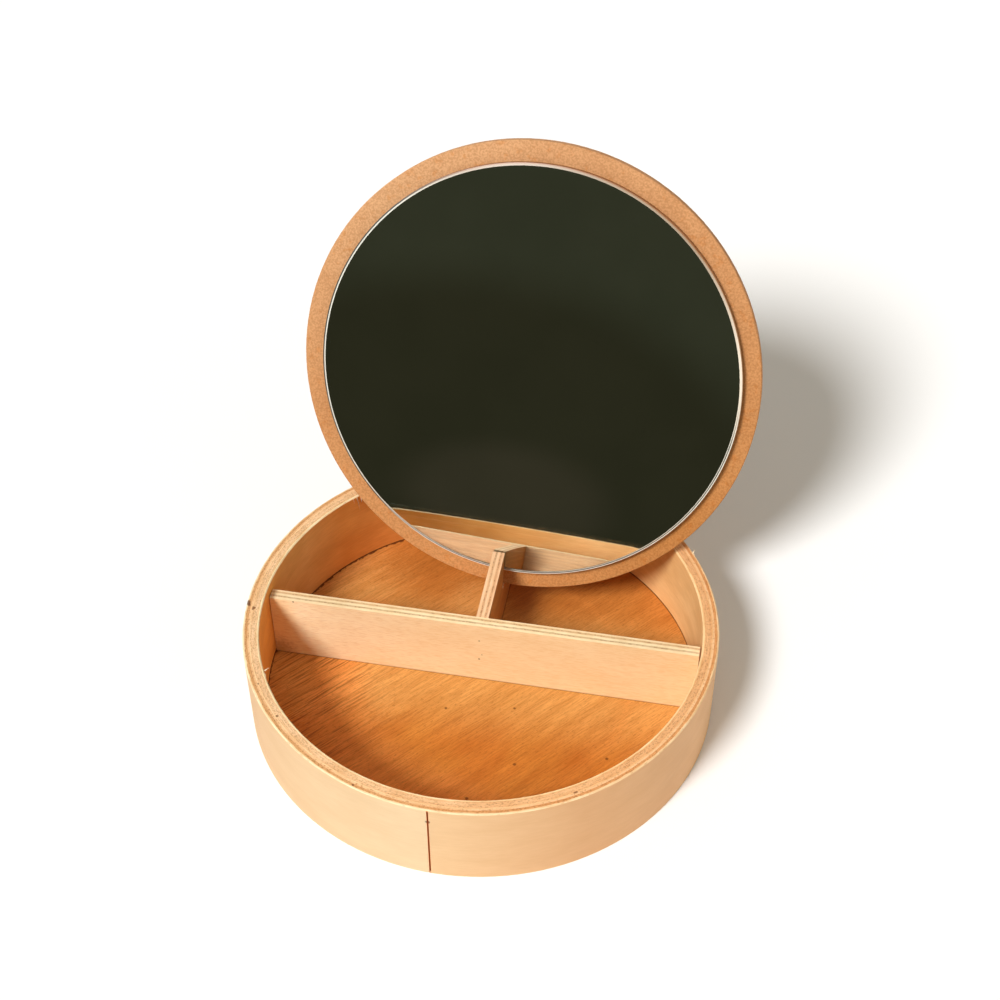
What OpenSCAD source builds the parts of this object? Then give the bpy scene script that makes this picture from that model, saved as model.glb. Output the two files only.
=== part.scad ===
// Round wooden vanity box with a loose mirror lid.
// Two bent plywood hoops are glued one inside the other round a let-in floor.
// A long divider and a cross divider stand on the floor, and a slanted slot in
// the cross divider holds the lid upright as a mirror stand.
// Origin: centre of the underside. X runs along the long divider, Y to the back.

/* [Box] */
// Outside diameter of the box
box_d = 190; // [160:1:230]
// Height from the underside to the rim
box_h = 40; // [36:1:60]

/* [Hoops] */
// Thickness of the outer hoop
outer_hoop_t = 2.2; // [1.8:0.1:5]
// Thickness of the inner hoop
inner_hoop_t = 4.2; // [2:0.1:5]
// Glue line round the curved faces that are glued together
glue_line = 0.1; // [0.05:0.05:0.2]
// Sanded bevel on the long edges of both hoops
hoop_ease = 0.4; // [0.2:0.1:0.8]
// Width of the open groove where a hoop's ends meet
seam_w = 0.6; // [0.3:0.1:2]
// Depth of the groove, up to the glue that closes the seam
seam_depth = 1.5; // [0.5:0.1:1.6]
// Length of seam closed with glue at the rim and at the lower edge
seam_stop = 0.8; // [0.5:0.1:3]
// Direction of the outer hoop's seam from above: 0 right, 90 back, 270 front
outer_seam_angle = 269; // [200:1:340]
// Direction of the inner hoop's seam
inner_seam_angle = 68; // [20:1:80]

/* [Floor] */
// Thickness of the floor disc
floor_t = 2.5; // [2:0.5:5]

/* [Dividers] */
// Thickness of both divider boards
divider_t = 5; // [3:0.5:8]
// Depth of the dividers' tops below the rim
divider_drop = 5; // [5:0.5:9]
// Front face of the long divider in Y
long_y = 0; // [-15:1:10]
// Middle of the cross divider in X
cross_x = -0.5; // [-15:0.5:15]
// Play between the long divider's left end and the round wall
left_gap = 0.2; // [0.1:0.1:1]
// Play between the long divider's right end and the round wall
right_gap = 0.6; // [0.1:0.1:1]
// Play between the cross divider's end and the round wall
rear_gap = 0.4; // [0.1:0.1:1]

/* [Lid] */
// Thickness of the lid panel
lid_t = 4; // [3:0.5:6]
// How far the closed lid's edge stays inside the box's outside
lid_step = 1; // [0:0.5:3]
// Broken edge round the lid panel
lid_ease = 0.3; // [0.1:0.1:0.8]

/* [Mirror] */
// Play between the mirror and the inner wall when the lid lies on the rim
mirror_play = 2.4; // [1:0.1:10]
// Thickness of the mirror glass
glass_t = 3; // [2:0.5:3]
// Width of the ground bevel round both faces of the glass
glass_bevel = 1.1; // [0.3:0.1:1.5]
// Depth of that bevel
bevel_depth = 0.4; // [0.2:0.1:0.8]
// Sideways error with which the mirror is stuck on
mirror_side = 0.8; // [-1.5:0.1:1.5]
// Thickness of the mounting tape
tape_t = 1; // [0.5:0.1:1.5]
// Width of one strip of tape
tape_w = 19; // [10:1:25]
// Distance between the strips' middles
tape_pitch = 52; // [35:1:60]
// Bare glass left between the strips' ends and the mirror's edge
tape_inset = 9; // [5:1:20]

/* [Stand] */
// Lean of the standing lid from upright
lean = 22.2; // [15:0.1:28]
// Turn of the standing lid in its slot, seen from above
lid_turn = -3.5; // [-4:0.5:4]
// Standing lid's middle, to the right of the cross divider's middle
lid_shift = 3.6; // [-6:0.1:6]
// Distance from the lid's foot to the inner wall behind it
foot_to_wall = 48.3; // [44:0.1:54]
// Depth of the lid's foot below the dividers' tops
foot_depth = 16.5; // [12:0.5:18]
// Play on each side of the lid in its slot
slot_play = 0.35; // [0.3:0.05:1]
// Play between the lid's edge and the bottom of the slot
foot_play = 0.3; // [0.3:0.05:1]

/* [Hidden] */
$fn = 180;
box_r = box_d / 2;
outer_hoop_ri = box_r - outer_hoop_t;
inner_hoop_ro = outer_hoop_ri - glue_line;
inner_hoop_ri = inner_hoop_ro - inner_hoop_t;
floor_r = outer_hoop_ri - glue_line;
divider_top = box_h - divider_drop;
divider_h = divider_top - floor_t;
long_back = long_y + divider_t;
long_reach = wall_reach(max(abs(long_y), abs(long_back)));
long_len = 2 * long_reach - left_gap - right_gap;
cross_reach = wall_reach(abs(cross_x) + divider_t / 2);
cross_len = cross_reach - rear_gap - long_back;
lid_r = box_r - lid_step;
mirror_r = inner_hoop_ri - mirror_play;
mirror_stack = tape_t + glass_t;
foot_x = cross_x + lid_shift;
foot_y = inner_hoop_ri - foot_to_wall;
foot_z = divider_top - foot_depth;
// The board is cut square, so a turned lid crosses it off the foot and askew
slot_y = foot_y - lid_shift * tan(lid_turn);
slot_side = slot_play + divider_t / 2 * abs(tan(lid_turn));
slot_w = mirror_stack + lid_t + 2 * slot_side;
slot_long = 2 * box_h;
birch = [0.96, 0.82, 0.64];
birch_inner = [0.93, 0.75, 0.55];
veneer = [0.79, 0.49, 0.25];
fibreboard = [0.86, 0.62, 0.42];
silvered = [0.30, 0.33, 0.30];
foam = [0.92, 0.92, 0.88];

// Half of the chord that the round wall leaves at distance d from the centre
function wall_reach(d) = sqrt(pow(inner_hoop_ri, 2) - pow(d, 2));

// Flat band bent to a ring with bevelled long edges. The groove of its seam is
// cut radially from radius seam_from to seam_to, between the glued stretches.
module hoop(ro, t, z0, z1, seam_from, seam_to, seam_angle) {
    ri = ro - t;
    difference() {
        rotate_extrude()
            polygon([
                [ri + hoop_ease, z0], [ro - hoop_ease, z0], [ro, z0 + hoop_ease],
                [ro, z1 - hoop_ease], [ro - hoop_ease, z1], [ri + hoop_ease, z1],
                [ri, z1 - hoop_ease], [ri, z0 + hoop_ease],
            ]);
        rotate([0, 0, seam_angle])
            translate([seam_from, -seam_w / 2, z0 + seam_stop])
                cube([seam_to - seam_from, seam_w, z1 - z0 - 2 * seam_stop]);
    }
}

// Round plate from z = 0 up, both edges bevelled over a width and a depth
module plate(r, t, width, depth) {
    rotate_extrude()
        polygon([
            [0, 0], [r - width, 0], [r, depth],
            [r, t - depth], [r - width, t], [0, t],
        ]);
}

// Puts a lid drawn upright, foot at the origin and facing -Y, into its slot
module standing() {
    translate([foot_x, foot_y, foot_z])
        rotate([-lean, 0, lid_turn])
            children();
}

// Lifts a plate to the lid's middle and turns it to face -Y, its back at depth
module on_lid(depth, side = 0) {
    translate([side, depth, lid_r])
        rotate([90, 0, 0])
            children();
}

module outer_hoop() {
    color(birch)
        hoop(box_r, outer_hoop_t, 0, box_h, box_r - seam_depth, box_r + 1,
            outer_seam_angle);
}

module inner_hoop() {
    color(birch_inner)
        hoop(inner_hoop_ro, inner_hoop_t, floor_t, box_h, inner_hoop_ri - 1,
            inner_hoop_ri + seam_depth, inner_seam_angle);
}

module floor_disc() {
    color(veneer)
        cylinder(r = floor_r, h = floor_t);
}

module long_divider() {
    color(birch)
        translate([left_gap - long_reach, long_y, floor_t])
            cube([long_len, divider_t, divider_h]);
}

// Slanted slot in the YZ plane, open at the top of the board
module lid_slot() {
    translate([cross_x - divider_t, slot_y, foot_z])
        rotate([-lean, 0, 0])
            translate([0, -mirror_stack - slot_side, -foot_play])
                cube([2 * divider_t, slot_w, slot_long]);
}

module cross_divider() {
    color(birch)
        difference() {
            translate([cross_x - divider_t / 2, long_back, floor_t])
                cube([divider_t, cross_len, divider_h]);
            lid_slot();
        }
}

module lid_panel() {
    color(fibreboard)
        standing()
            on_lid(lid_t)
                plate(lid_r, lid_t, lid_ease, lid_ease);
}

// Three upright strips of foam tape, cut short of the mirror's round edge
module mirror_tape() {
    color(foam)
        standing()
            on_lid(0, mirror_side)
                for (i = [-1:1])
                    intersection() {
                        translate([i * tape_pitch - tape_w / 2, -mirror_r, 0])
                            cube([tape_w, 2 * mirror_r, tape_t]);
                        cylinder(r = mirror_r - tape_inset, h = tape_t);
                    }
}

module mirror_glass() {
    color(silvered)
        standing()
            on_lid(-tape_t, mirror_side)
                plate(mirror_r, glass_t, glass_bevel, bevel_depth);
}

outer_hoop();
inner_hoop();
floor_disc();
long_divider();
cross_divider();
lid_panel();
mirror_tape();
mirror_glass();
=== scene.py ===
from functools import partial
import bpy
import numpy as np
from mathutils import Matrix, Vector


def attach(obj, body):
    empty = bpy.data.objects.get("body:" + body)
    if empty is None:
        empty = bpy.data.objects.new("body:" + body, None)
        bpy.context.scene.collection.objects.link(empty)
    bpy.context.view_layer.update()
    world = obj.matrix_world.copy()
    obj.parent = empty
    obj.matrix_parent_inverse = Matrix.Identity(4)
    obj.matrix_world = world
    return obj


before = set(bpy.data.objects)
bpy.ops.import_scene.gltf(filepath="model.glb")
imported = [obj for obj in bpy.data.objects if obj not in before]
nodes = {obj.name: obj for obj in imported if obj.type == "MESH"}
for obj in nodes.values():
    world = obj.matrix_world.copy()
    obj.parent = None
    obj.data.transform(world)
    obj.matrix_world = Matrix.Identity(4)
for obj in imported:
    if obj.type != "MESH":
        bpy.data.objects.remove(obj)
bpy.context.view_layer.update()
print("frame loaded:", len(nodes), "CAD nodes")


def hexLinear(code):  # an sRGB hex colour as linear light, with alpha 1
    srgb = np.array([int(code[i:i + 2], 16) for i in (1, 3, 5)]) / 255
    linear = np.where(srgb <= 0.04045, srgb / 12.92, ((srgb + 0.055) / 1.055) ** 2.4)
    return (*linear.tolist(), 1.0)


# one node with its settings, values and links; gives its output called out, or the node when out is None
def addNode(tree, kind, sockets=None, out=0, stops=None, **settings):
    node = tree.nodes.new("ShaderNode" + kind)
    for key, value in settings.items():
        setattr(node, key, value)
    if stops:  # a colour ramp's (position, hex colour or grey)
        elements = node.color_ramp.elements
        while len(elements) < len(stops):
            elements.new(1.0)
        for element, (position, tone) in zip(elements, stops):
            element.position = position
            element.color = hexLinear(tone) if isinstance(tone, str) else (tone, tone, tone, 1)
    for key, value in (sockets or {}).items():
        if isinstance(value, bpy.types.NodeSocket):
            tree.links.new(value, node.inputs[key])
        else:
            node.inputs[key].default_value = hexLinear(value) if isinstance(value, str) else value
    return node if out is None else node.outputs[out]


# settings that many nodes share
asColour = dict(out=2, data_type="RGBA")
asLength = dict(out="Value", operation="LENGTH")
asDot = dict(out="Value", operation="DOT_PRODUCT")


# a Principled material, with its own addNode, and the place in mm and the normal as sockets
def newMaterial(name, **shaderValues):
    material = bpy.data.materials.new(name)
    material.use_nodes = True
    add = partial(addNode, material.node_tree)
    for key, value in shaderValues.items():
        material.node_tree.nodes["Principled BSDF"].inputs[key.replace("_", " ")].default_value = value
    spot = add("TexCoord", out=None)
    inMm = add("VectorMath", {0: spot.outputs["Object"], "Scale": 1000}, operation="SCALE")
    return material, add, inMm, spot.outputs["Normal"]


def dress(material, sockets):  # links finished sockets into the material's shader
    tree = material.node_tree
    for key, socket in sockets.items():
        tree.links.new(socket, tree.nodes["Principled BSDF"].inputs[key])


# wood figure: noise whose cells are drawn out to length x width mm along the first coordinate
def grain(add, along, length, width, detail=3.0, shift=0.0):
    drawn = add("Mapping", {"Vector": along, "Location": (shift, shift * 1.7, shift * 0.3),
                            "Scale": (1 / length, 1 / width, 1 / width)})
    return add("TexNoise", {"Vector": drawn, "Scale": 1.0, "Detail": detail, "Roughness": 0.55})


# the colour times a tint that goes from dark to light as the pattern goes from low to high
def tinted(add, colour, pattern, low, high, dark, light):
    share = add("MapRange", {0: pattern, 1: low, 2: high}, interpolation_type="SMOOTHSTEP")
    tint = add("Mix", {0: share, 6: (*dark, 1), 7: (*light, 1)}, **asColour)
    return add("Mix", {0: 1.0, 6: colour, 7: tint}, **asColour, blend_type="MULTIPLY")


# the colour covered with a stain where the pattern rises from low to high, at most as strongly as share
def stained(add, colour, stain, pattern, low, high, share=1.0):
    cover = add("MapRange", {0: pattern, 1: low, 2: high, 3: 0.0, 4: share}, interpolation_type="SMOOTHSTEP")
    return add("Mix", {0: cover, 6: colour, 7: stain}, **asColour)


# the colour with a mark at each spot (x, y, z, radius), in mm; its border is ragged and as soft as given
def spotted(add, colour, stain, inMm, spots, share=1.0, soft=0.3):
    ragged = add("MapRange", {0: grain(add, inMm, 1.2, 1.2, 2.0, 51), 1: 0.3, 2: 0.7, 3: -0.25, 4: 0.25})
    for x, y, z, radius in spots:
        away = add("VectorMath", {0: inMm, 1: (x, y, z)}, out="Value", operation="DISTANCE")
        away = add("Math", {0: away, 1: 1 / radius, 2: ragged}, operation="MULTIPLY_ADD")
        colour = stained(add, colour, stain, away, 1 + soft, 1 - soft, share)
    return colour


# camera: solved from the photograph's circles and edges
cameraLook = dict(
    place=(0.093694, -0.456149, 0.559764),  # metres
    azimuth=10.645,                         # degrees round to the right of straight in front
    elevation=44.257,
    roll=-0.283,
    lens=62.66, sensor=36,                  # mm
    clip=(0.02, 20),                        # metres
)


# back points from the scene to the camera; right is level; up is back x right; the roll turns right and up
def aimCamera(look):
    azimuth, elevation, roll = np.radians([look["azimuth"], look["elevation"], look["roll"]])
    back = np.array([np.sin(azimuth) * np.cos(elevation), -np.cos(azimuth) * np.cos(elevation),
                     np.sin(elevation)])
    right = np.array([np.cos(azimuth), np.sin(azimuth), 0])
    up = np.cross(back, right)
    turned = np.stack([np.cos(roll) * right + np.sin(roll) * up,
                       np.cos(roll) * up - np.sin(roll) * right, back])
    data = bpy.data.cameras.new("photoCamera")
    data.lens, data.sensor_width = look["lens"], look["sensor"]
    data.clip_start, data.clip_end = look["clip"]
    camera = bpy.data.objects.new("photoCamera", data)
    bpy.context.scene.collection.objects.link(camera)
    pose = Matrix(turned.T.tolist()).to_4x4()
    pose.translation = look["place"]
    camera.matrix_world = pose
    bpy.context.scene.camera = camera


aimCamera(cameraLook)
print("camera placed")

# studio: a soft key from the front left, a weak warm fill from the right, an even sky;
# the throw stands in for the key light that the mirror sends on to the divider and the front wall
studio = dict(
    keyAzimuth=-30, keyElevation=45, keySoftness=16.6, keyLevel=1.00, keyTone="#FFFFFF",
    fillAzimuth=72, fillElevation=16, fillSoftness=60, fillLevel=0.09, fillTone="#FFEBD2",
    throwAzimuth=195.1, throwElevation=3.7, throwSpread=32, throwLevel=1.09, throwTone="#FFF2E8",
    throwPlace=(0.005, 0.031, 0.100), throwSize=(0.196, 0.164),
    skyLevel=0.33, skyTone="#FFF9EA",
    floorTone=0.80, floorSeen=1.02, floorHalf=6.0,
    cardAway=0.7, cardTop=0.64, cardHalf=1.6, cardTone="#38382B", cardTopTone="#8F9188", cardTopFrom=0.6,
    # ovals on the card: middle's x and z, half the width and half the height in mm, softness, share and tone
    cardOvals=[(-225, 0, 305, 236, 0.12, 1.0, "#2F2D20"), (-180, 45, 90, 48, 0.3, 0.9, "#3A3529")],
)


def lampToward(azimuth, elevation):  # unit vector from the object to a lamp
    azimuth, elevation = np.radians([azimuth, elevation])
    return Vector((np.sin(azimuth) * np.cos(elevation), -np.cos(azimuth) * np.cos(elevation),
                   np.sin(elevation)))


def hangLamp(name, data, toward, tone, place=(0, 0, 0)):
    data.color = hexLinear(tone)[:3]
    lamp = bpy.data.objects.new(name, data)
    bpy.context.scene.collection.objects.link(lamp)
    lamp.location = place
    lamp.rotation_mode = "QUATERNION"
    lamp.rotation_quaternion = toward.to_track_quat("Z", "Y")
    return lamp


# a flat sheet from its four corners; its material only glows or only scatters, as the given shader says
def hangSheet(name, corners, material, shader):
    tree = material.node_tree
    tree.links.new(shader, tree.nodes["Material Output"].inputs["Surface"])
    tree.nodes.remove(tree.nodes["Principled BSDF"])
    mesh = bpy.data.meshes.new(name)
    mesh.from_pydata(corners, [], [(0, 1, 2, 3)])
    mesh.materials.append(material)
    sheet = bpy.data.objects.new(name, mesh)
    bpy.context.scene.collection.objects.link(sheet)
    return sheet


def buildStudio(look):
    scene = bpy.context.scene
    scene.view_settings.view_transform = "Standard"
    # lamps at infinity: level is what a white board facing one shows, softness its width in degrees
    for part in ("key", "fill"):
        data = bpy.data.lights.new(part + "Softbox", "SUN")
        data.energy, data.angle = look[part + "Level"] * np.pi, np.radians(look[part + "Softness"])
        toward = lampToward(look[part + "Azimuth"], look[part + "Elevation"])
        lamp = hangLamp(data.name, data, toward, look[part + "Tone"])
        lamp.visible_transmission = False  # what reaches the box by way of the mirror comes from the throw
    # an oval of about the mirror's size that shines forward as the mirror does, in a beam with soft sides
    data = bpy.data.lights.new("mirrorThrow", "AREA")
    data.shape = "ELLIPSE"
    data.size, data.size_y = look["throwSize"]
    data.spread = np.radians(look["throwSpread"])
    # level x pi x the oval's area
    data.energy = look["throwLevel"] * np.pi * np.pi / 4 * data.size * data.size_y
    toward = lampToward(look["throwAzimuth"], look["throwElevation"])
    lamp = hangLamp(data.name, data, toward, look["throwTone"], look["throwPlace"])
    lamp.visible_camera = lamp.visible_glossy = lamp.visible_transmission = False
    # sky: an even dome, white to the camera and in the mirror
    scene.world = bpy.data.worlds.new("studioSky")
    scene.world.use_nodes = True
    add = partial(addNode, scene.world.node_tree)
    rays = add("LightPath", out=None)
    seen = add("Math", {0: rays.outputs["Is Camera Ray"], 1: rays.outputs["Is Glossy Ray"]},
               operation="MAXIMUM")
    seen = add("Math", {0: seen, 1: rays.outputs["Is Transmission Ray"]}, operation="MAXIMUM")
    shed = add("Math", {0: rays.outputs["Diffuse Depth"], 1: 0.5}, operation="LESS_THAN")
    seen = add("Math", {0: seen, 1: shed}, operation="MULTIPLY")
    sky = scene.world.node_tree.nodes["Background"]
    scene.world.node_tree.links.new(
        add("MapRange", {0: seen, 3: look["skyLevel"], 4: 1.0}), sky.inputs["Strength"])
    scene.world.node_tree.links.new(
        add("Mix", {0: seen, 6: look["skyTone"], 7: (1, 1, 1, 1)}, **asColour), sky.inputs["Color"])
    # floor: matt white paper, seen by the camera a little paler than it lights the box
    half = look["floorHalf"]
    material, add, inMm, normal = newMaterial("white paper sweep")
    tone = add("MapRange", {0: add("LightPath", out="Is Camera Ray"), 3: look["floorTone"],
                            4: look["floorSeen"]})
    hangSheet("studioFloor", [(-half, -half, 0), (half, -half, 0), (half, half, 0), (-half, half, 0)],
              material, add("BsdfDiffuse", {"Color": tone}))
    # dark card in front of the box, there only for what the mirror shows: deepest in a low arch, with a
    # paler patch at its foot, and pale at its top
    away, top, wide = look["cardAway"], look["cardTop"], look["cardHalf"]
    material, add, inMm, normal = newMaterial("dark studio card")
    tone = look["cardTone"]
    for x, z, halfWidth, halfHeight, soft, share, stain in look["cardOvals"]:
        off = add("VectorMath", {0: inMm, 1: (x, 0, z)}, operation="SUBTRACT")
        off = add("VectorMath", {0: off, 1: (1 / halfWidth, 0, 1 / halfHeight)}, operation="MULTIPLY")
        tone = stained(add, tone, stain, add("VectorMath", {0: off}, **asLength), 1 + soft, 1 - soft, share)
    height = add("SeparateXYZ", {0: inMm}, out="Z")
    glow = stained(add, tone, look["cardTopTone"], height, 1000 * top * look["cardTopFrom"], 1000 * top)
    corners = [(-wide, -away, 0), (wide, -away, 0), (wide, -away, top), (-wide, -away, top)]
    card = hangSheet("darkCard", corners, material, add("Emission", {"Color": glow}))
    card.visible_camera = card.visible_diffuse = card.visible_shadow = False


buildStudio(studio)
print("studio built")

# hoops: two layers of birch plywood bent round, the ends of each meeting at its seam
hoopLook = dict(pore="#A66B38", nick="#B87B45")  # what both share
outerHoopLook = dict(
    hoopLook, seam=269, radii=(92.8, 95.0),  # degrees from above, 0 to the right; mm
    # face veneer, from the seam round counter-clockwise and back to it; matched to the photograph, so these
    # tones may hold some of its light and shade too
    faceStops=[(0.0, "#E7C194"), (0.1, "#E5B383"), (0.2, "#FDCA98"), (0.3, "#EABA88"), (0.8, "#DDB488"),
               (1.0, "#E7CAA2")],
    # rim, from the inside outwards: open cross ply, then the pale face ply
    rimStops=[(0.0, "#DBA16B"), (0.08, "#E3AA74"), (0.3, "#DFA46C"), (0.6, "#E2A971"), (0.7, "#F6D9AC"),
              (1.0, "#FBE3B8")],
    poreStops=[(0.0, 0.6), (0.6, 0.75), (0.7, 0.0), (1.0, 0.0)],
    rimTints=((1.02, 1.06, 1.10), (0.99, 0.88, 0.80)),  # at the left and at the right: painted light, paler at the left and more orange at the right
    figure=0.5, seamTone="#D98240", knotTone="#5E2F14",
    knots=[(-94.2, -8.2, 40, 1.15), (-93.4, -9.4, 40, 0.6), (-30.7, -88.7, 40, 0.5), (-1.7, -95.0, 33, 0.8)],
)
innerHoopLook = dict(
    hoopLook, seam=68, radii=(88.5, 92.7),
    # paler at the left, just behind the long divider's end, and along the front. These tones by angle hold
    # painted light and shade as well as the veneer's own tone
    faceStops=[(0.0, "#F3A455"), (0.21, "#F3A556"), (0.25, "#FFC77E"), (0.28, "#FFC478"), (0.31, "#F6AE59"),
               (0.37, "#F8AC58"), (0.5, "#F4B670"), (0.6, "#FCCB97"), (0.8, "#F6C98F"), (0.91, "#EFBF82"),
               (1.0, "#FAD197")],
    rimStops=[(0.0, "#FFE6B8"), (0.15, "#FDE0AE"), (0.22, "#F0BE8C"), (0.5, "#F2C596"), (0.8, "#EEBA88"),
              (0.86, "#F8CF9C"), (0.97, "#F6C690"), (1.0, "#E5B07A")],
    poreStops=[(0.0, 0.0), (0.17, 0.0), (0.26, 0.5), (0.8, 0.55), (0.87, 0.1), (1.0, 0.2)],
    rimTints=((1.03, 1.09, 1.14), (0.96, 0.85, 0.74)),
    figure=1.5, seamTone="#8A4C22", knotTone="#7A4520",
    knots=[(-91.4, -10.8, 40, 0.9), (-78.5, -48.6, 40, 0.5), (-66.9, -62.6, 40, 0.5), (50.2, -77.6, 40, 0.8)],
)


# birch veneer bent round: pale and close-grained, with a faint lengthwise figure and hardly any pores;
# its sawn top edge shows the plies as rings, the cross plies darker, coarser and open-pored
def bentBirch(name, look):
    material, add, inMm, normal = newMaterial(name, Specular_IOR_Level=0.15)
    # arc length from the seam, height and radius, so that the grain runs round the hoop
    turned = add("VectorRotate", {"Vector": inMm, "Axis": (0, 0, 1), "Angle": np.radians(180 - look["seam"])})
    parts = add("SeparateXYZ", {0: turned}, out=None)
    angle = add("Math", {0: parts.outputs["Y"], 1: parts.outputs["X"]}, operation="ARCTAN2")
    flat = add("VectorMath", {0: inMm, 1: (1, 1, 0)}, operation="MULTIPLY")
    radius = add("VectorMath", {0: flat}, **asLength)
    arc = add("Math", {0: angle, 1: look["radii"][1]}, operation="MULTIPLY")
    along = add("CombineXYZ", {0: arc, 1: parts.outputs["Z"], 2: radius})
    # face: tone by angle from the seam, then broad clouds and fine fibres
    face = add("ValToRGB", {0: add("MapRange", {0: angle, 1: -np.pi, 2: np.pi})}, stops=look["faceStops"])
    depth = look["figure"]  # how strong the clouds and fibres are
    clouds = grain(add, along, 26, 9, 3.0, 5)
    face = tinted(add, face, clouds, 0.3, 0.7, (1 - 0.045 * depth, 1 - 0.075 * depth, 1 - 0.11 * depth),
                  (1 + 0.03 * depth, 1 + 0.045 * depth, 1 + 0.06 * depth))
    fibres = grain(add, along, 6, 0.6, 3.0, 11)
    face = tinted(add, face, fibres, 0.35, 0.65, (1 - 0.035 * depth, 1 - 0.055 * depth, 1 - 0.08 * depth),
                  (1.01, 1.015, 1.02))
    # brown glue in the open seam and just beside it
    arcSize = add("Math", {0: arc}, operation="ABSOLUTE")
    fromSeam = add("Math", {0: np.pi * look["radii"][1], 1: arcSize}, operation="SUBTRACT")
    face = stained(add, face, look["seamTone"], fromSeam, 0.45, 0.31, 0.9)
    # rim: rings by radius, their borders uneven from the saw
    waver = grain(add, along, 4, 4, 3.0, 23)
    uneven = add("MapRange", {0: waver, 1: 0.25, 2: 0.75, 3: -0.2, 4: 0.2})
    ringAt = add("Math", {0: radius, 1: uneven}, operation="ADD")
    across = add("MapRange", {0: ringAt, 1: look["radii"][0], 2: look["radii"][1]})
    rim = add("ValToRGB", {0: across}, stops=look["rimStops"])
    # pores are 0.1 mm wide in birch: drawn 0.4 mm so that they show
    speckle = grain(add, along, 0.8, 0.4, 2.0, 31)
    poreLevel = add("ValToRGB", {0: across}, stops=look["poreStops"])
    pores = add("Math", {0: poreLevel, 1: add("MapRange", {0: speckle, 1: 0.5, 2: 0.66})},
                operation="MULTIPLY")
    rim = add("Mix", {0: pores, 6: rim, 7: look["pore"]}, **asColour)
    rim = tinted(add, rim, grain(add, along, 9, 4, 3.0, 41), 0.35, 0.7,
                 (1.03, 1.05, 1.07), (0.94, 0.89, 0.83))
    sawLines = grain(add, along, 8, 0.35, 2.0, 71)
    rim = tinted(add, rim, sawLines, 0.35, 0.65, (0.93, 0.88, 0.82), (1.04, 1.06, 1.10))
    # painted light across the rim: paler at the left and more orange at the right
    rim = tinted(add, rim, add("SeparateXYZ", {0: inMm}, out="X"), -80, 85, *look["rimTints"])
    up = add("Math", {0: add("SeparateXYZ", {0: normal}, out="Z")}, operation="ABSOLUTE")
    onRim = add("MapRange", {0: up, 1: 0.55, 2: 0.65})
    colour = add("Mix", {0: onRim, 6: face, 7: rim}, **asColour)
    # the sanded bevels are worn pale, and broken by small brown nicks
    leaning = add("MapRange", {0: up, 1: 0.98, 2: 0.9})
    rising = add("MapRange", {0: up, 1: 0.3, 2: 0.5})
    onBevel = add("Math", {0: leaning, 1: rising}, operation="MULTIPLY")
    nicks = add("MapRange", {0: grain(add, along, 2.2, 1.2, 3.0, 61), 1: 0.56, 2: 0.68, 3: 0.0, 4: 0.35})
    nicks = add("Math", {0: onBevel, 1: nicks}, operation="MULTIPLY")
    colour = add("Mix", {0: nicks, 6: colour, 7: look["nick"]}, **asColour)
    colour = spotted(add, colour, look["knotTone"], inMm, look["knots"], 0.85)
    relief = add("Mix", {0: onRim, 2: fibres, 3: speckle}, data_type="FLOAT")
    dress(material, {"Base Color": colour,
                     "Roughness": add("MapRange", {0: fibres, 1: 0.3, 2: 0.7, 3: 0.5, 4: 0.64}),
                     "Normal": add("Bump", {"Strength": 0.5, "Distance": 0.0002, "Height": relief})})
    return material


nodes["outer_hoop"].material_slots[0].material = bentBirch("birch plywood outer hoop", outerHoopLook)
nodes["inner_hoop"].material_slots[0].material = bentBirch("birch plywood inner hoop", innerHoopLook)
print("hoops finished")


# a new mesh object from points in mm, given to a body and a material
def addPiece(name, points, faces, body, material, smooth=False):
    mesh = bpy.data.meshes.new(name)
    mesh.from_pydata((np.asarray(points) / 1000).tolist(), [], faces)
    if smooth:
        mesh.shade_smooth()
    piece = bpy.data.objects.new(name, mesh)
    bpy.context.scene.collection.objects.link(piece)
    mesh.materials.append(material)
    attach(piece, body)
    return piece


# the fill of the valley between the hoops, in mm
glueRingLook = dict(
    middle=92.75, half=0.39, top=39.93, low=39.64, heave=0.04, steps=360,
    glue="#F4C490", grit="#C98A52",
)


# squeezed-out glue and sanding dust: pale, mealy, with darker grains
def driedGlue(name, look):
    material, add, inMm, normal = newMaterial(name, Roughness=0.65)
    grains = grain(add, inMm, 0.8, 0.8, 2.0, 5)
    colour = stained(add, look["glue"], look["grit"], grains, 0.52, 0.68, 0.8)
    colour = tinted(add, colour, grain(add, inMm, 7, 7, 2.0, 9), 0.3, 0.7,
                    (0.93, 0.88, 0.82), (1.03, 1.05, 1.08))
    dress(material, {"Base Color": colour,
                     "Normal": add("Bump", {"Strength": 0.4, "Distance": 0.0002, "Height": grains})})
    return material


# ring of a four-cornered section: (r, z) = (middle - half, top), (middle, low), (middle + half, top) and
# (middle, top + heave w), where w = sin 11 t sin 17 t makes the fill heave round the box
def glueRing(look):
    t = np.linspace(0, 2 * np.pi, look["steps"], endpoint=False)
    heave = look["heave"] * np.sin(11 * t) * np.sin(17 * t)
    r = look["middle"] + look["half"] * np.array([-1, 0, 1, 0]) + 0 * t[:, None]
    z = np.stack([look["top"] + 0 * t, look["low"] + 0 * t, look["top"] + 0 * t, look["top"] + heave], 1)
    points = np.stack([r * np.cos(t)[:, None], r * np.sin(t)[:, None], z], -1).reshape(-1, 3)
    index = np.arange(len(points)).reshape(-1, 4)
    following, corner = np.roll(index, -1, axis=0), np.roll(index, -1, axis=1)
    faces = np.stack([index, following, np.roll(following, -1, axis=1), corner], -1).reshape(-1, 4)
    return addPiece("glueLine", points, faces.tolist(), "box",
                    driedGlue("dried glue", look))


glueRing(glueRingLook)

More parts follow.
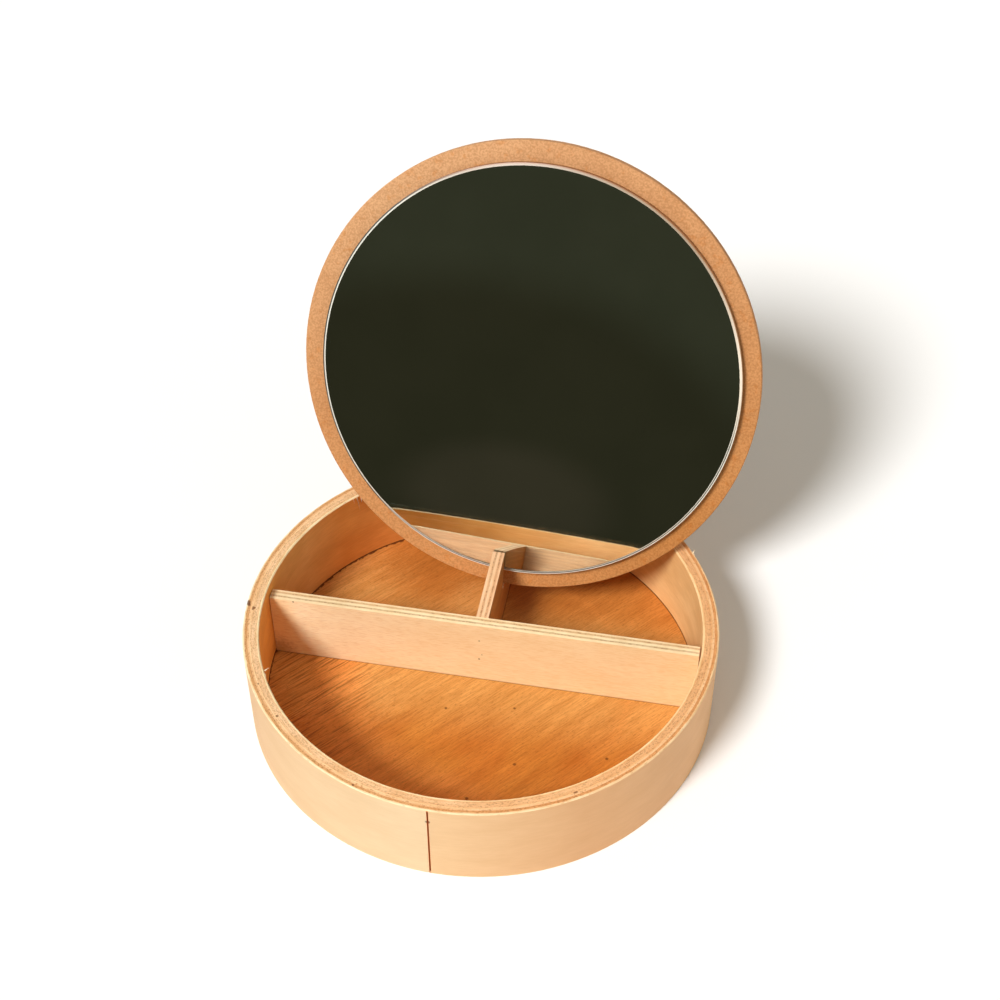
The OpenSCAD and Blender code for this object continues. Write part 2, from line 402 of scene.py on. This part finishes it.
splinterLook = dict(
    seed=4, sag=0.35, steps=4,
    # fibres round the rim: radius, height, how many, and their lengths and widths in mm
    edges=((94.75, 39.85, 46), (88.75, 39.85, 40)), lengths=(0.5, 1.7), widths=(0.12, 0.3),
    # torn slivers: root, direction, length, width
    torn=[((-65.6, 59.2, 39.3), (0.25, -0.2, -1), 5.0, 1.3), ((-64.2, 60.7, 38.8), (-0.1, 0.1, -1), 5.4, 1.2),
          ((-66.8, 57.9, 39.6), (0.1, 0.0, -1), 2.2, 0.6), ((79.6, 51.2, 39.8), (0.3, 0.7, 0.9), 2.4, 0.6),
          ((80.6, 49.8, 39.8), (-0.4, 0.8, 0.5), 1.9, 0.5), ((-77.8, -41.6, 39.7), (0.4, 0.7, 0.1), 3.0, 0.7),
          ((-77.4, -42.8, 39.7), (0.5, -0.8, 0.2), 2.2, 0.5),
          ((46.0, -82.7, 39.8), (0.9, 0.3, 0.3), 2.2, 0.5),
          ((86.0, -39.8, 39.8), (0.3, 0.9, 0.3), 2.4, 0.5),
          ((85.2, -41.4, 39.8), (-0.3, -0.9, 0.4), 1.8, 0.4)],
    slot=[((2.0, 37.4, 20.0), (0.15, -0.9, 0.5), 2.6, 0.7), ((1.4, 37.0, 19.4), (0.3, -0.8, -0.4), 2.0, 0.6),
          ((2.0, 37.8, 21.4), (0.4, -0.7, 0.8), 1.8, 0.5)],
    fresh="#F8E2BC", brown="#DDA56C",
)


# torn birch fibre: pale where it is fresh, browner in streaks along the tear
def tornBirch(name, look):
    material, add, inMm, normal = newMaterial(name, Roughness=0.7)
    streaks = grain(add, inMm, 1.5, 0.5, 2.0, 7)
    dress(material, {"Base Color": stained(add, look["fresh"], look["brown"], streaks, 0.45, 0.65, 0.8),
                     "Normal": add("Bump", {"Strength": 0.4, "Distance": 0.0002, "Height": streaks})})
    return material


# slivers of a four-cornered section: with s from 0 at the root to 1 at the tip, the middle line is
# root + length (s way - sag s^2 up), and the section's corners lie at width / 2 (1 - s) along the side and
# 0.4 of that along the lift
def splinters(name, roots, ways, lengths, widths, look, slot, material):
    roots, ways, lengths, widths = (np.array(values, float) for values in (roots, ways, lengths, widths))
    ways /= np.linalg.norm(ways, axis=1)[:, None]
    side = np.cross(ways, (0.3, 0.2, 1.0))
    side /= np.linalg.norm(side, axis=1)[:, None]
    lift = np.cross(side, ways)
    steps = look["steps"]
    s = np.append(np.linspace(0, 1, steps, endpoint=False), 1)
    bent = s[:, None] * ways[:, None] - look["sag"] * (s ** 2)[:, None] * np.array([0, 0, 1])
    middle = roots[:, None] + lengths[:, None, None] * bent
    corners = np.array([(1, 0), (0, 0.4), (-1, 0), (0, -0.4)])
    spread = corners[:, :1] * side[:, None, None] + corners[:, 1:] * lift[:, None, None]
    rings = middle[:, :-1, None] + (widths[:, None] / 2 * (1 - s[:-1]))[:, :, None, None] * spread
    points = np.concatenate([rings.reshape(len(roots), -1, 3), middle[:, -1:]], 1)
    index = np.arange(4 * steps).reshape(steps, 4)
    corner = np.roll(index, -1, axis=1)
    quads = np.concatenate([
        np.stack([index[:-1], index[1:], corner[1:], corner[:-1]], -1).reshape(-1, 4), index[:1]])
    tips = np.stack([index[-1], np.full(4, 4 * steps), corner[-1]], 1)
    start = (np.arange(len(roots)) * points.shape[1])[:, None, None]
    faces = (start + quads).reshape(-1, 4).tolist() + (start + tips).reshape(-1, 3).tolist()
    return addPiece(name, points.reshape(-1, 3), faces, "box", material)


# fibres at random round an edge: each lies along the rim, one way or the other, and lifts a little
def rimFibres(look, material):
    rng = np.random.default_rng(look["seed"])
    radius, height, count = np.array(look["edges"]).T
    r, z = np.repeat(radius, count.astype(int)), np.repeat(height, count.astype(int))
    t = rng.uniform(0, 2 * np.pi, len(r))
    turn = rng.choice([-1.0, 1.0], len(r))
    roots = np.stack([r * np.cos(t), r * np.sin(t), z], 1)
    ways = np.stack([-turn * np.sin(t), turn * np.cos(t), rng.uniform(0.1, 0.7, len(r))], 1)
    lengths = rng.uniform(*look["lengths"], len(r))
    widths = rng.uniform(*look["widths"], len(r))
    return splinters("rimFibres", roots, ways, lengths, widths, look, "outer_hoop_ply", material)


fibre = tornBirch("torn birch fibre", splinterLook)
rimFibres(splinterLook, fibre)
splinters("rimSplinters", *zip(*splinterLook["torn"]), splinterLook, "inner_hoop_ply", fibre)
splinters("slotSplinters", *zip(*splinterLook["slot"]), splinterLook, "divider_ply", fibre)
print("rim details finished")

# floor: a veneer that looks like oiled okoume
floorLook = dict(
    grainAngle=49, wallRadius=88.5, longMiddle=2.5, crossMiddle=-0.5, crossFrom=7.5,  # degrees, then mm
    middle="#C6742D", warm="#CF8135", pale="#D59A55", arcLight="#F2994C",
    stripe="#743A14", pore="#6E3412", gapAndShade="#56290F",
    arcLightRadius=61, arcLightWay=(-0.8, -0.6, 0), openWay=(-0.76, 0.65, 0),
    marks=[(-11.6, -17.8, 2.5, 0.6), (16, -13, 2.5, 0.5), (21, -41, 2.5, 0.65), (56.7, -31.7, 2.5, 0.6),
           (5.5, -60.5, 2.5, 0.6)],
    shadePlaces=[(36, -43, 2.5, 17), (22, 52, 2.5, 18), (-28, 54, 2.5, 15)], deep="#A65B1C",
    palePlaces=[(-70, 40, 2.5, 24), (-10, 42, 2.5, 11), (-72, -11, 2.5, 18), (-48, -12, 2.5, 16)],
    paleSpotTone="#E2A660",
)


# okoume-like veneer: orange-brown, straight diagonal grain with short dark pore lines, dark streaks at the
# left, dark glue in the gap along the wall, painted shade at the feet of the dividers, and painted light and
# shade in patches
def oiledVeneer(name, look):
    material, add, inMm, normal = newMaterial(name, Specular_IOR_Level=0.12)
    along = add("VectorRotate", {"Vector": inMm, "Axis": (0, 0, 1), "Angle": np.radians(-look["grainAngle"])})
    parts = add("SeparateXYZ", {0: inMm}, out=None)
    x, y = parts.outputs["X"], parts.outputs["Y"]
    flat = add("VectorMath", {0: inMm, 1: (1, 1, 0)}, operation="MULTIPLY")
    radius = add("VectorMath", {0: flat}, **asLength)
    base = stained(add, look["middle"], look["warm"], grain(add, along, 40, 12, 2.0, 2), 0.35, 0.65)
    # paler towards the long divider, and deepest at the back, where painted shade stands for the lid's shadow
    base = stained(add, base, look["pale"], y, -38, -3)
    base = stained(add, base, look["middle"], y, 26, 48, 0.75)
    # painted shade in spots: under the lid at the back, and at the edge of the wall's shadow at the front
    # right
    base = spotted(add, base, look["deep"], inMm, look["shadePlaces"], 0.3, 0.6)
    # paler spots; the two at the front left are painted light that lifts the wall's shadow there
    base = spotted(add, base, look["paleSpotTone"], inMm, look["palePlaces"], 0.52, 0.7)
    # painted light in an arc at the front left, which brings the edge of the wall's shadow nearer the wall
    offArc = add("Math", {0: add("Math", {0: radius, 1: look["arcLightRadius"]}, operation="SUBTRACT")},
                 operation="ABSOLUTE")
    side = add("VectorMath", {0: inMm, 1: look["arcLightWay"]}, **asDot)
    away = add("Math", {0: offArc, 1: add("MapRange", {0: side, 1: 36, 2: 14, 3: 0, 4: 14})}, operation="ADD")
    base = stained(add, base, look["arcLight"], away, 19, 3, 0.6)
    # streaks 0.8 mm wide and 2 to 3 mm apart, dark at the left and faint elsewhere
    streaks = grain(add, along, 17, 0.8, 3.0, 7)
    leftness = add("MapRange", {0: x, 1: -24, 2: -66, 3: 0.12, 4: 0.62}, interpolation_type="SMOOTHSTEP")
    leftness = add("Math", {0: leftness, 1: add("MapRange", {0: y, 1: 0, 2: 10, 3: 1, 4: 0.3})},
                   operation="MULTIPLY")
    cover = add("Math", {0: add("MapRange", {0: streaks, 1: 0.5, 2: 0.64}), 1: leftness},
                operation="MULTIPLY")
    base = add("Mix", {0: cover, 6: base, 7: look["stripe"]}, **asColour)
    base = tinted(add, base, grain(add, along, 34, 4, 2.0, 27), 0.35, 0.65,
                  (0.94, 0.90, 0.84), (1.04, 1.05, 1.06))
    # fibres, then the pore lines: 0.2 mm wide in the wood, drawn 0.4 mm
    fibres = grain(add, along, 8, 0.5, 4.0, 13)
    base = tinted(add, base, fibres, 0.33, 0.62, (0.88, 0.84, 0.78), (1.07, 1.09, 1.11))
    base = stained(add, base, look["pore"], grain(add, along, 1.8, 0.4, 1.0, 19), 0.58, 0.7, 0.32)
    base = spotted(add, base, look["gapAndShade"], inMm, look["marks"], 0.75, 0.5)
    # the gap along the wall is ragged and up to 1 mm wide at the back left, and a hair elsewhere
    backLeft = add("VectorMath", {0: inMm, 1: look["openWay"]}, **asDot)
    torn = add("MapRange", {0: grain(add, inMm, 2.0, 2.0, 4.0, 37), 1: 0.4, 2: 0.62, 3: 0.0, 4: 0.8})
    reach = add("Math", {0: torn, 1: add("MapRange", {0: backLeft, 1: 45, 2: 66}), 2: radius},
                operation="MULTIPLY_ADD")
    base = stained(add, base, look["gapAndShade"], reach, look["wallRadius"] - 0.35, look["wallRadius"] - 0.1, 0.85)
    # painted shade: a darker line in the corners at the feet of both dividers
    fromLong = add("Math", {0: y, 1: look["longMiddle"]}, operation="SUBTRACT")
    fromCross = add("Math", {0: x, 1: look["crossMiddle"]}, operation="SUBTRACT")
    ahead = add("Math", {0: look["crossFrom"], 1: y}, operation="SUBTRACT")
    byLong = add("Math", {0: fromLong}, operation="ABSOLUTE")
    byCross = add("Math", {0: add("Math", {0: fromCross}, operation="ABSOLUTE"), 1: ahead},
                  operation="MAXIMUM")
    foot = add("Math", {0: byLong, 1: byCross}, operation="MINIMUM")
    base = stained(add, base, look["gapAndShade"], foot, 3.0, 2.7, 0.45)
    dress(material, {"Base Color": base,
                     "Roughness": add("MapRange", {0: fibres, 1: 0.3, 2: 0.7, 3: 0.36, 4: 0.5}),
                     "Normal": add("Bump", {"Strength": 0.4, "Distance": 0.0002, "Height": fibres})})
    return material


nodes["floor_disc"].material_slots[0].material = oiledVeneer("okoume veneer floor", floorLook)
print("floor finished")

# dividers: 5 mm birch plywood boards; across is the axis through a board's thickness, in mm from low to high
boardPlies = [(0.0, "#F8DDB0"), (0.2, "#F8DDB0"), (0.27, "#DDBB90"), (0.38, "#D9B68A"), (0.45, "#F8E0B4"),
              (0.6, "#F6DAAC"), (0.68, "#DDB688"), (0.8, "#D9B082"), (0.86, "#F6D8A8"), (1.0, "#F8DCB0")]
# the cross divider reads browner in the photograph
crossTones = ["#F2C69A", "#F2C69A", "#E0AC80", "#DCA87C", "#F3CCA2",
              "#F2C69A", "#E0A97C", "#DCA478", "#EFC094", "#F2C69C"]
boardLook = dict(  # what both boards share
    pores=[(0.0, 0.0), (0.24, 0.0), (0.3, 0.8), (0.38, 0.1),
           (0.66, 0.0), (0.72, 0.8), (0.8, 0.1), (1.0, 0.0)],
    pore="#8A5228", dash="#C98A55", mark="#4E2C16", footShade="#6B4424", shade="#8F5520",
)
longDividerLook = dict(
    boardLook, across="Y", low=0, high=5, plies=boardPlies, poreStrength=0.7, flecks=(10, -75),
    # tones along the board; the palest, near the left end, are painted light in the wall's shadow
    faceStops=[(0.03, "#FFDCA8"), (0.075, "#FFE6BC"), (0.2, "#F4D6AB"), (0.5, "#F1D4A6"), (1.0, "#F0D2A2")],
    backTint=(0.97, 0.84, 0.92), shades=[(-89, 0, 2.5, 8)],
    marks=[(-1.0, 0, 26.1, 0.3), (-1.1, 0, 14.9, 0.38), (0.1, 0, 17.7, 0.3), (-78.2, 0, 34.5, 0.4)],
)
crossDividerLook = dict(
    boardLook, across="X", low=-3, high=2, poreStrength=0.9, flecks=(-200, 200),
    plies=[(place, darker) for (place, tone), darker in zip(boardPlies, crossTones)],
    # brown face veneer: partly the board's browner wood, partly painted shade on its right face, away from
    # the key
    faceStops=[(0.0, "#CC8C4E"), (1.0, "#CC8C4E")], backTint=(1, 1, 1), shades=[], marks=[],
)


# birch plywood board: pale face veneer with short flecks along the grain; the sawn edge shows five plies,
# the two cross plies greyer, with rows of open pores
def birchBoard(name, look):
    material, add, inMm, normal = newMaterial(name, Specular_IOR_Level=0.15)
    parts = add("SeparateXYZ", {0: inMm}, out=None)
    lengthwise = "Y" if look["across"] == "X" else "X"
    along = add("CombineXYZ", {0: parts.outputs[lengthwise], 1: parts.outputs["Z"],
                               2: parts.outputs[look["across"]]})
    face = add("ValToRGB", {0: add("MapRange", {0: parts.outputs[lengthwise], 1: -90, 2: 90})},
               stops=look["faceStops"])
    face = tinted(add, face, grain(add, along, 30, 8, 2.0, 3), 0.3, 0.7,
                  (0.985, 0.965, 0.94), (1.015, 1.03, 1.05))
    flecks = grain(add, along, 4, 0.55, 2.0, 9)
    face = tinted(add, face, flecks, 0.32, 0.6, (0.965, 0.92, 0.87), (1.01, 1.02, 1.035))
    # darker dashes about 4 mm long, more of them towards one end
    dashes = add("MapRange", {0: grain(add, along, 4.0, 0.4, 2.0, 43), 1: 0.54, 2: 0.68})
    few, many = look["flecks"]
    toEnd = add("MapRange", {0: parts.outputs[lengthwise], 1: few, 2: many, 3: 0.08, 4: 0.34})
    dashes = add("Math", {0: dashes, 1: toEnd}, operation="MULTIPLY")
    face = add("Mix", {0: dashes, 6: face, 7: look["dash"]}, **asColour)
    # the back shows another veneer, with open lengthwise lines
    behind = add("MapRange", {0: add("SeparateXYZ", {0: normal}, out=look["across"]), 1: 0.4, 2: 0.6})
    lines = add("MapRange", {0: grain(add, along, 22, 0.9, 3.0, 67), 1: 0.4, 2: 0.62})
    lineTint = [0.82 * value for value in look["backTint"]]
    backTone = add("Mix", {0: lines, 6: (*look["backTint"], 1), 7: (*lineTint, 1)}, **asColour)
    backFace = add("Mix", {0: 1.0, 6: face, 7: backTone}, **asColour, blend_type="MULTIPLY")
    face = add("Mix", {0: behind, 6: face, 7: backFace}, **asColour)
    # painted shade in the corner where the long divider's left end meets the wall and the floor
    face = spotted(add, face, look["shade"], inMm, look["shades"], 0.45, 0.7)
    face = spotted(add, face, look["mark"], inMm, look["marks"], 0.7)
    face = stained(add, face, look["footShade"], parts.outputs["Z"], 2.85, 2.6, 0.35)  # painted shade at the foot, where the board meets the floor
    waver = grain(add, along, 5, 5, 3.0, 17)
    uneven = add("MapRange", {0: waver, 1: 0.25, 2: 0.75, 3: -0.16, 4: 0.16})
    through = add("Math", {0: parts.outputs[look["across"]], 1: uneven}, operation="ADD")
    share = add("MapRange", {0: through, 1: look["low"], 2: look["high"]})
    ply = add("ValToRGB", {0: share}, stops=look["plies"])
    dots = grain(add, along, 1.0, 0.6, 1.0, 29)
    poreLevel = add("ValToRGB", {0: share}, stops=look["pores"])
    pores = add("MapRange", {0: dots, 1: 0.5, 2: 0.6, 3: 0.0, 4: look["poreStrength"]})
    pores = add("Math", {0: poreLevel, 1: pores}, operation="MULTIPLY")
    ply = add("Mix", {0: pores, 6: ply, 7: look["pore"]}, **asColour)
    ply = tinted(add, ply, grain(add, along, 6, 3, 3.0, 53), 0.3, 0.7, (0.95, 0.91, 0.86), (1.03, 1.05, 1.08))
    facing = add("Math", {0: add("SeparateXYZ", {0: normal}, out=look["across"])}, operation="ABSOLUTE")
    onFace = add("MapRange", {0: facing, 1: 0.4, 2: 0.6})
    relief = add("Mix", {0: onFace, 2: dots, 3: flecks}, data_type="FLOAT")
    dress(material, {"Base Color": add("Mix", {0: onFace, 6: ply, 7: face}, **asColour),
                     "Roughness": add("MapRange", {0: flecks, 1: 0.3, 2: 0.7, 3: 0.5, 4: 0.62}),
                     "Normal": add("Bump", {"Strength": 0.35, "Distance": 0.0002, "Height": relief})})
    return material


nodes["long_divider"].material_slots[0].material = birchBoard("birch plywood long divider", longDividerLook)
nodes["cross_divider"].material_slots[0].material = birchBoard(
    "birch plywood cross divider", crossDividerLook)
print("dividers finished")

# lid: a cut disc of fibreboard. Round the edge its tone is painted light and shade, palest at the upper left
# and darkest at the lower right
lidLook = dict(
    middle=(5.2, 75.6, 105.6),  # mm, of the standing lid
    # painted light and shade by direction from the middle, from the left over the foot, the right and the top
    # back to the left
    edgeLightStops=[(0.0, "#C59061"), (0.06, "#C08857"), (0.2, "#C98E57"), (0.4, "#B17740"), (0.6, "#C48D5D"),
               (0.88, "#CE9D70"), (1.0, "#C59061")],
    edgeLightRadii=(66, 84), core="#C38E5D",  # the direction tells from the first radius on, and fully from the second
)


# medium-density fibreboard: brown felted fibres with a fine pale and dark speckle and small orange blotches
def fibreboard(name, look):
    material, add, inMm, normal = newMaterial(name, Roughness=0.7, Specular_IOR_Level=0.12)
    off = add("VectorMath", {0: inMm, 1: look["middle"]}, operation="SUBTRACT")
    parts = add("SeparateXYZ", {0: off}, out=None)
    direction = add("Math", {0: parts.outputs["Z"], 1: parts.outputs["X"]}, operation="ARCTAN2")
    base = add("ValToRGB", {0: add("MapRange", {0: direction, 1: -np.pi, 2: np.pi})}, stops=look["edgeLightStops"])
    fromMiddle = add("VectorMath", {0: off}, **asLength)
    base = stained(add, look["core"], base, fromMiddle, *look["edgeLightRadii"])
    # fibre bundles of 0.2 mm, drawn 0.8 mm
    felt = grain(add, inMm, 0.8, 0.8, 3.0, 3)
    base = tinted(add, base, felt, 0.35, 0.65, (0.87, 0.83, 0.79), (1.10, 1.12, 1.16))
    blotches = grain(add, inMm, 3.0, 3.0, 3.0, 15)
    base = tinted(add, base, blotches, 0.55, 0.7, (1.0, 1.0, 1.0), (0.97, 0.86, 0.72))
    base = tinted(add, base, grain(add, inMm, 20, 20, 3.0, 8), 0.3, 0.7,
                  (0.98, 0.97, 0.96), (1.03, 1.04, 1.05))
    dress(material, {"Base Color": base,
                     "Normal": add("Bump", {"Strength": 0.3, "Distance": 0.0002, "Height": felt})})
    return material


nodes["lid_panel"].material_slots[0].material = fibreboard("fibreboard lid", lidLook)


tapeLook = dict(cell="#D9D8D0", foam="#EFEEE8")


# foam tape: white closed-cell foam with a fine pitted edge
def foamTape(name, look):
    material, add, inMm, normal = newMaterial(name, Roughness=0.85)
    cells = grain(add, inMm, 0.6, 0.6, 1.0, 3)
    dress(material, {"Base Color": stained(add, look["cell"], look["foam"], cells, 0.4, 0.6),
                     "Normal": add("Bump", {"Strength": 0.4, "Distance": 0.0002, "Height": cells})})
    return material


nodes["mirror_tape"].material_slots[0].material = foamTape("white foam tape", tapeLook)
print("lid finished")

# mirror: 3 mm float glass on foam tape; the lid leans 22.2 degrees back and is turned 3.5 in its slot
mirrorLook = dict(
    foot=(3.1, 40.2, 18.5), lean=22.2, turn=-3.5, lidRadius=94.0,  # mm and degrees, as the lid stands
    side=0.8, stack=4.0, radius=86.1, bevel=1.1,
    glass="#F4FAF6", silverDull="#E2E6E0", silverBright="#ECEFEA",
    # the film's depth and the play round it in mm, then where and how fast it sinks deeper
    silverIn=0.1, silverGap=0.03, bendFrom=-54.0, bend=4.99e-5,
    # the bevel from the flat face outwards, matched to the photograph's one view: milky, with painted
    # highlights, a painted reflection of the dark room as a dark band, and painted shade in brown at the
    # outer edge
    rightStops=[(0.0, "#EFE2CE"), (0.75, "#EFE2CE"), (0.95, "#A87E54"), (1.0, "#A4845C")],
    topStops=[(0.0, "#A38F78"), (0.5, "#A38F78"), (0.7, "#9A6E48"), (1.0, "#8C5932")],
    leftStops=[(0.0, "#DAD8CC"), (0.4, "#DAD8CC"), (0.52, "#3A382F"), (1.0, "#4C4438")],
    footStops=[(0.0, "#E8E4D6"), (0.16, "#E8E4D6"), (0.28, "#4E4B42"), (0.56, "#4E4B42"), (0.68, "#E8E4D6"),
               (1.0, "#E8E4D6")],
    # where the last three take over, in mm: above the middle, to the right of it, and down and to the right
    topFrom=(20, 60), leftFrom=(-30, -60), footFrom=(38, 58),
)


# unit vectors of the standing lid: across, out of its back, and up it
def lidAxes(look):
    lean, turn = np.radians([look["lean"], look["turn"]])
    across = np.array([np.cos(turn), np.sin(turn), 0])
    level = np.array([-np.sin(turn), np.cos(turn), 0])
    backward = np.cos(lean) * level + np.array([0, 0, -np.sin(lean)])
    upward = np.sin(lean) * level + np.array([0, 0, np.cos(lean)])
    return across, backward, upward


# clear float glass with a ground bevel: the flat faces are polished; the bevel and the edge are milky and
# matt, and their pale lines are partly painted highlights. A dark band is painted on them at the left and at
# the foot, where the dark room shows in the photograph: a painted reflection. The brown at the right and the
# top is painted shade of the lid. These tones stay in their place on the glass, and don't follow the camera
# as a real refraction would
def floatGlass(name, look):
    material, add, inMm, normal = newMaterial(name, IOR=1.52)
    across, backward, upward = lidAxes(look)
    facing = add("VectorMath", {0: normal, 1: backward.tolist()}, **asDot)
    flat = add("MapRange", {0: add("Math", {0: facing}, operation="ABSOLUTE"), 1: 0.96, 2: 0.99})
    # place on the glass: to the right of and above its middle
    centre = np.array(look["foot"]) + look["lidRadius"] * upward + look["side"] * across
    off = add("VectorMath", {0: inMm, 1: centre.tolist()}, operation="SUBTRACT")
    right = add("VectorMath", {0: off, 1: across.tolist()}, **asDot)
    above = add("VectorMath", {0: off, 1: upward.tolist()}, **asDot)
    radius = add("VectorMath", {0: add("CombineXYZ", {0: right, 1: above})}, **asLength)
    share = add("MapRange", {0: radius, 1: look["radius"] - look["bevel"], 2: look["radius"]})
    below = add("Math", {0: above, 1: -1}, operation="MULTIPLY")
    low = add("Math", {0: right, 1: 0.5, 2: below}, operation="MULTIPLY_ADD")
    edge = add("ValToRGB", {0: share}, stops=look["rightStops"])
    for part, place in (("top", above), ("left", right), ("foot", low)):
        first, last = look[part + "From"]
        tone = add("ValToRGB", {0: share}, stops=look[part + "Stops"])
        edge = add("Mix", {0: add("MapRange", {0: place, 1: first, 2: last}), 6: edge, 7: tone}, **asColour)
    dress(material, {"Base Color": add("Mix", {0: flat, 6: edge, 7: look["glass"]}, **asColour),
                     "Transmission Weight": flat,
                     "Roughness": add("MapRange", {0: flat, 3: 0.4, 4: 0.0})})
    return material


# silver film: a bright cool metal, seen only through the glass
def silverFilm(name, look):
    material, add, inMm, normal = newMaterial(name, Metallic=1.0)
    haze = grain(add, inMm, 40, 40, 2.0, 3)
    dress(material, {"Base Color": stained(add, look["silverDull"], look["silverBright"], haze, 0.3, 0.7),
                     "Roughness": add("MapRange", {0: haze, 1: 0.3, 2: 0.7, 3: 0.008, 4: 0.02})})
    return material


# the film is a disc, worked out as centre + r (cos t across + sin t upward) + depth backward, for r from 0
# to its radius and t a full turn. The depth under the front face is silverIn, and below bendFrom it grows
# by bend / 3 times the cube of the way down. A real mirror is silvered on the back of its 3 mm glass: this
# depth and this bend are only fitted, so that the box's reflection falls where the photograph shows it. The
# innermost ring is one point
def silverDisc(look, rings=40, steps=180):
    across, backward, upward = lidAxes(look)
    centre = (np.array(look["foot"]) + look["lidRadius"] * upward + look["side"] * across
              - look["stack"] * backward)
    r = np.linspace(0, look["radius"] - look["bevel"] - look["silverGap"], rings + 1)[1:]
    t = np.linspace(0, 2 * np.pi, steps, endpoint=False)
    alongAcross = np.append(0, (r[:, None] * np.cos(t)).ravel())
    alongUp = np.append(0, (r[:, None] * np.sin(t)).ravel())
    depth = look["silverIn"] + look["bend"] / 3 * np.maximum(look["bendFrom"] - alongUp, 0) ** 3
    points = centre + alongAcross[:, None] * across + alongUp[:, None] * upward + depth[:, None] * backward
    index = 1 + np.arange(rings * steps).reshape(rings, steps)
    nextStep = np.roll(index, -1, axis=1)
    # across x upward points forward, out of the glass, and so do faces wound that way round
    fan = np.stack([np.zeros(steps, int), index[0], nextStep[0]], 1)
    quads = np.stack([index[:-1], index[1:], nextStep[1:], nextStep[:-1]], -1).reshape(-1, 4)
    film = silverFilm("mirror silver", look)
    return addPiece("silverLayer", points, fan.tolist() + quads.tolist(), "lid",
                    film, smooth=True)


nodes["mirror_glass"].material_slots[0].material = floatGlass("float glass", mirrorLook)
silverDisc(mirrorLook)
print("mirror finished")
